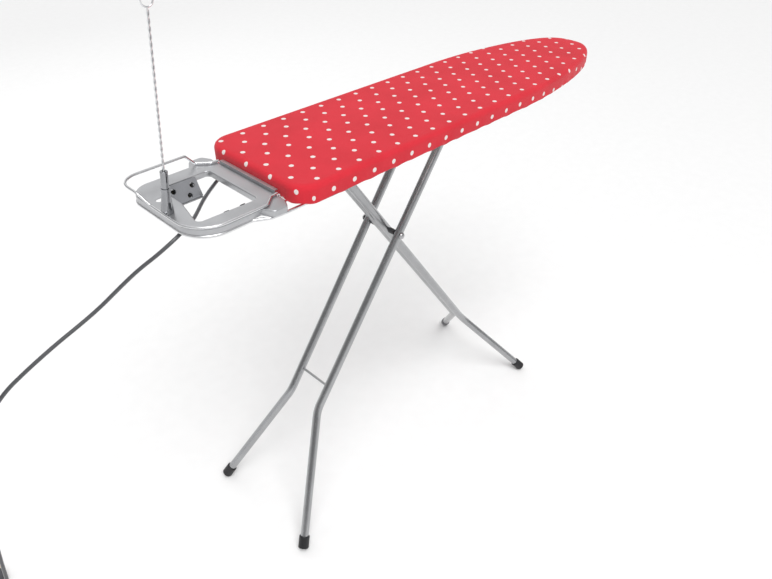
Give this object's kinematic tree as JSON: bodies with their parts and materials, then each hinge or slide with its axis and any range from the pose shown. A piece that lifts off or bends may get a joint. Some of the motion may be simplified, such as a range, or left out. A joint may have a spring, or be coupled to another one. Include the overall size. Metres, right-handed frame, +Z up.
{
  "type": "folding ironing board",
  "caption": "Folding ironing board with crossed tube legs, padded cover, iron rest with power socket, cord wand and supply cord.",
  "frame": {"origin": "centre of the whole length and width, on the floor, with the legs at full height, measured without the cord, plug and plug pins", "axes": "+X from the iron rest towards the nose, +Z up"},
  "size_m": [1.772, 0.4919, 1.2856],
  "materials": {
    "cover": "matte",
    "pad": "matte",
    "frame_grey": "satin",
    "leg_silver": "satin",
    "rest_grey": "satin",
    "wire": "satin",
    "fastener": "satin",
    "contact": "satin",
    "dark_plastic": "matte",
    "foot_black": "matte",
    "foot_grey": "matte",
    "socket_grey": "satin",
    "holder_grey": "matte",
    "cord_grey": "matte",
    "plug_grey": "matte"
  },
  "bodies": {
    "board": {"fabric_cover": "cover", "foam_pad": "pad", "top_mesh": "frame_grey", "rim_channel": "frame_grey", "brace_rest": "frame_grey", "brace_hinge": "frame_grey", "brace_guide_rear": "frame_grey", "brace_guide_front": "frame_grey", "hinge_bracket": "frame_grey", "hinge_pin": "fastener", "guide_rod": "fastener", "guide_hanger_rear": "frame_grey", "guide_hanger_front": "frame_grey", "rest_block_near": "dark_plastic", "rest_block_far": "dark_plastic", "rest_plate": "rest_grey", "rest_strip": "rest_grey", "guard_rod": "wire", "frame_rod": "wire", "socket_face": "socket_grey", "socket_bracket": "rest_grey", "socket_box": "socket_grey", "socket_contacts": "contact", "socket_screws": "fastener", "cord_gland": "socket_grey", "cord_clip": "dark_plastic", "bar_clips": "dark_plastic", "holder_base": "holder_grey", "holder_screw": "fastener", "supply_cord": "cord_grey", "plug_boot": "cord_grey", "plug_body": "plug_grey", "plug_pins": "contact"},
    "inner_legs": {"inner_leg_near": "leg_silver", "inner_leg_far": "leg_silver", "inner_foot_near": "foot_black", "inner_foot_far": "foot_grey", "leg_tie_upper": "fastener", "leg_tie_lower": "fastener", "pivot_bolt": "fastener", "dome_nut_near": "fastener", "dome_nut_far": "fastener", "pivot_bush_near": "foot_black", "pivot_bush_far": "foot_black"},
    "outer_legs": {"outer_leg_near": "leg_silver", "outer_leg_far": "leg_silver", "outer_foot_near": "foot_black", "outer_foot_far": "foot_black", "tie_rod": "fastener", "slider_axle": "fastener", "slider_spacer_near": "foot_black", "slider_spacer_far": "foot_black"},
    "slider_block": {"slider": "dark_plastic", "lever_pin": "fastener"},
    "height_lever": {"lever_arm": "frame_grey", "lever_grip": "foot_black"},
    "cord_wand": {"wand": "wire", "wand_loop": "wire"}
  },
  "joints": [
    {"name": "fold", "type": "hinge", "parent": "board", "child": "inner_legs", "pos_m": [-0.2549, 0, 0.894], "axis": [0, -1, 0], "range_deg": [0, 51.8]},
    {"name": "scissor", "type": "hinge", "parent": "inner_legs", "child": "outer_legs", "pos_m": [-0.09524, 0, 0.67181], "axis": [0, 1, 0], "range_deg": [0, 103.7]},
    {"name": "slider_turn", "type": "hinge", "parent": "outer_legs", "child": "slider_block", "pos_m": [0.06441, 0, 0.894], "axis": [0, -1, 0], "range_deg": [0, 51.9]},
    {"name": "lever_squeeze", "type": "hinge", "parent": "slider_block", "child": "height_lever", "pos_m": [0.06441, -0.01, 0.9255], "axis": [0, 0, 1], "range_deg": [0, 14], "stiffness_Nm_per_rad": 1, "springref_deg": -5.73},
    {"name": "wand_lift", "type": "slide", "parent": "board", "child": "cord_wand", "axis": [0.0666, -0.0689, 0.9954], "range_m": [0, 0.02]}
  ],
  "couplings": [
    {"joint": "scissor", "follows": "fold", "ratio": 2},
    {"joint": "slider_turn", "follows": "fold", "ratio": 1}
  ]
}
